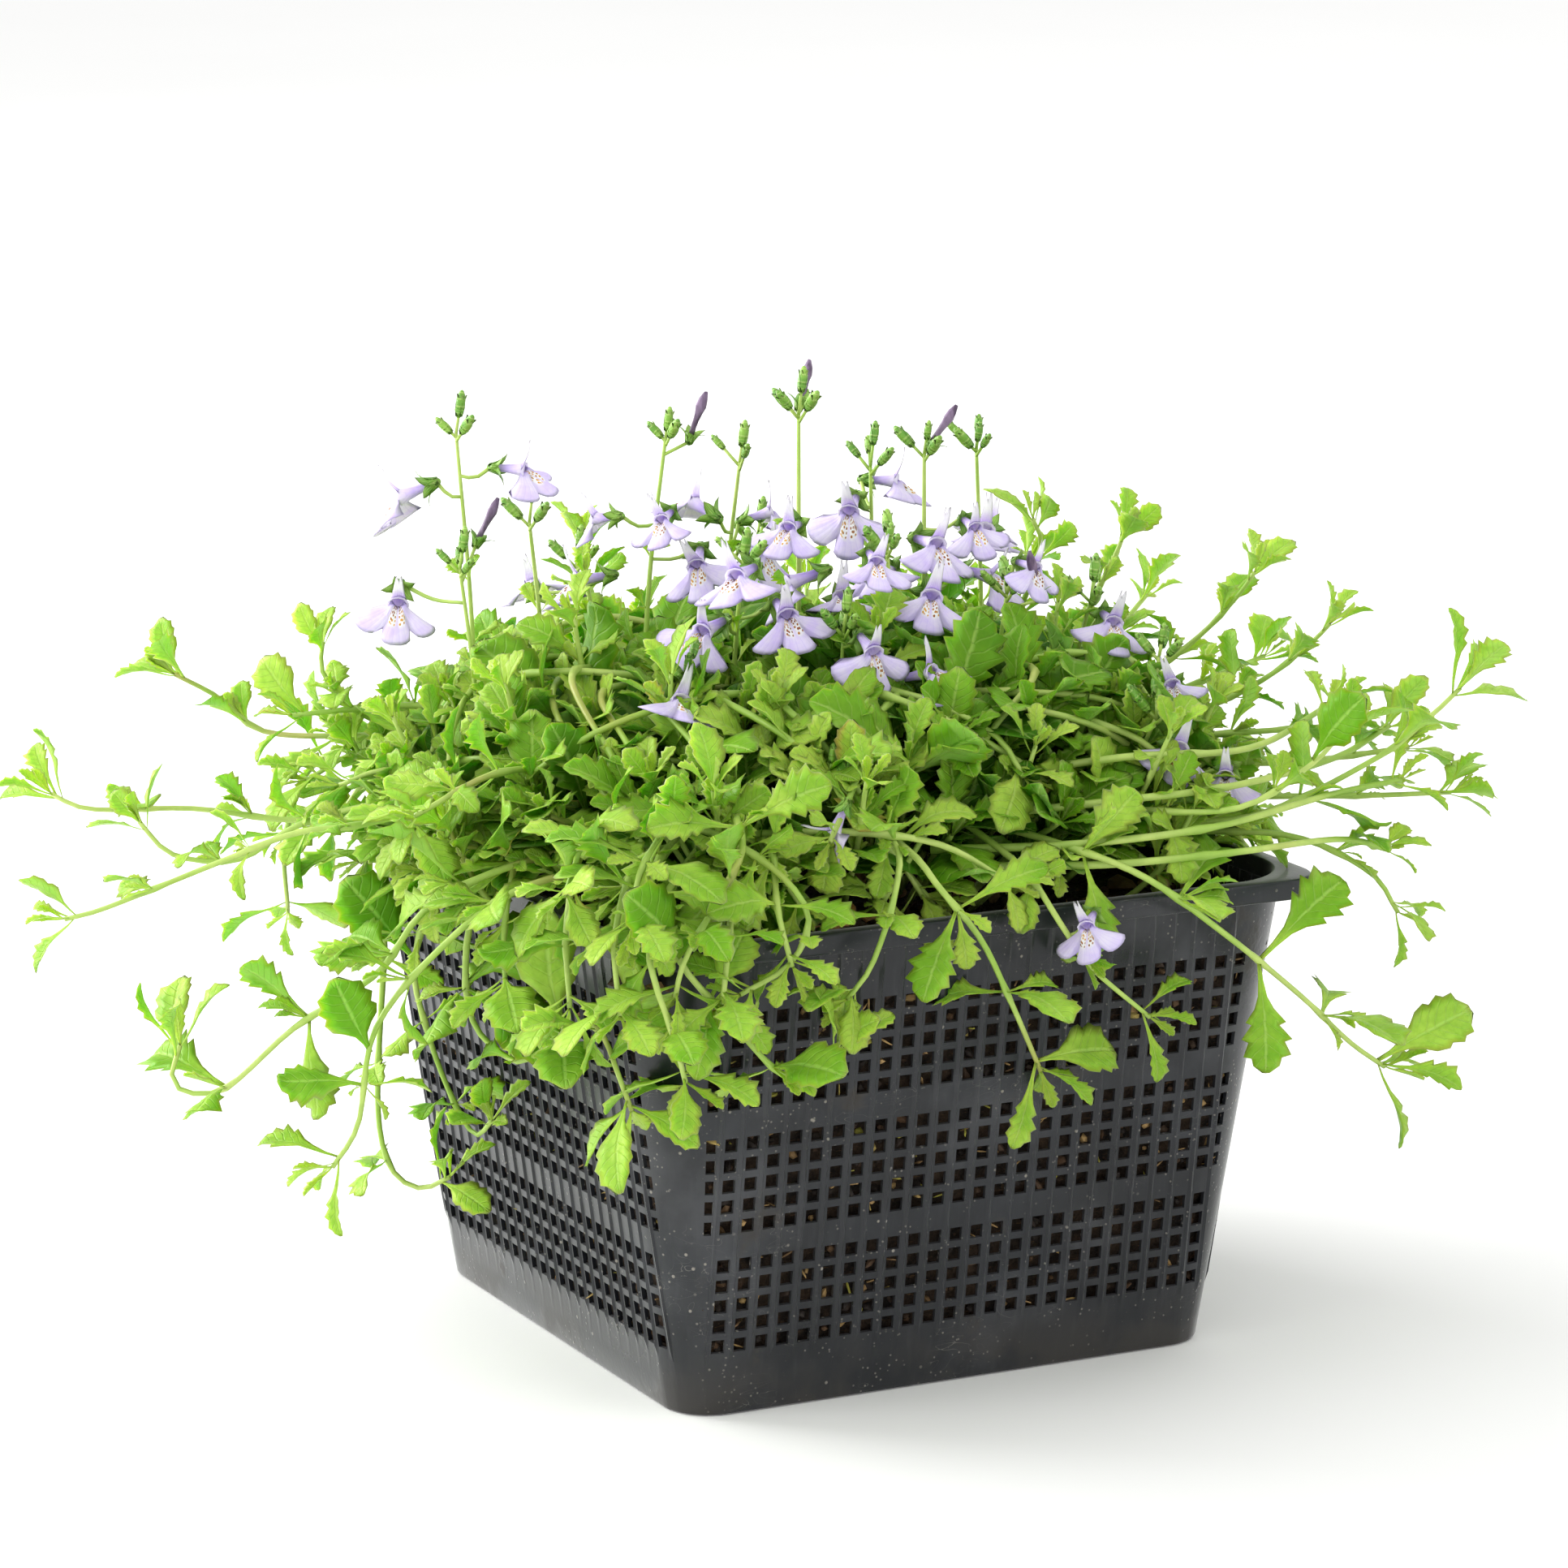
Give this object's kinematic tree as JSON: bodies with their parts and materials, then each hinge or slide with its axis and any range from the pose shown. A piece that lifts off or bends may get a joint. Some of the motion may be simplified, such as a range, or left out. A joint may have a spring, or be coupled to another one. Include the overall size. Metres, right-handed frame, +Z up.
{
  "type": "potted mazus",
  "caption": "Creeping mazus in flower in a square tapered mesh basket, with a dense mound of toothed leaves, trailing runners and lilac two-lipped flowers.",
  "frame": {"origin": "centre of the basket's flat base, on the surface it stands on", "axes": "+Z up; the basket's four faces are square to X and Y; -Y is the face seen widest from the front"},
  "size_m": [0.3406, 0.2509, 0.231],
  "materials": {
    "basket": "charcoal moulded plastic, satin, dusty, with fine scratches and soil smears",
    "soil": "dark moist peat with root fibres and straw-coloured flecks",
    "foliage": "fresh green leaf, faintly glossy, paler veins",
    "runner": "yellow-green fleshy stem with lime green leaves",
    "shoot": "bright green young leaves on thin stems",
    "flower": "translucent lilac petals, white throat with orange-brown spots"
  },
  "bodies": {
    "root": {"basket": "basket", "flower_stalk_01": "flower", "flower_stalk_02": "flower", "flower_stalk_03": "flower", "flower_stalk_04": "flower", "flower_stalk_05": "flower", "flower_stalk_06": "flower", "flower_stalk_07": "flower", "flower_stalk_08": "flower", "flower_stalk_09": "flower", "flower_stalk_10": "flower", "flower_stalk_11": "flower", "flower_stalk_12": "flower", "flower_stalk_13": "flower", "flower_stalk_14": "flower", "flower_stalk_15": "flower", "flower_stalk_16": "flower", "flower_stalk_17": "flower", "flower_stalk_18": "flower", "flower_stalk_19": "flower", "flower_stalk_20": "flower", "leaf_mound": "foliage", "runner_01": "runner", "runner_02": "runner", "runner_03": "runner", "runner_04": "runner", "runner_05": "runner", "runner_06": "runner", "runner_07": "runner", "runner_08": "runner", "runner_09": "runner", "runner_10": "runner", "runner_11": "runner", "runner_12": "runner", "runner_13": "runner", "runner_14": "runner", "runner_15": "runner", "runner_16": "runner", "runner_17": "runner", "runner_18": "runner", "runner_19": "runner", "runner_20": "runner", "runner_21": "runner", "runner_22": "runner", "runner_23": "runner", "shoot_01": "shoot", "shoot_02": "shoot", "shoot_03": "shoot", "shoot_04": "shoot", "shoot_05": "shoot", "shoot_06": "shoot", "soil": "soil"}
  },
  "joints": []
}
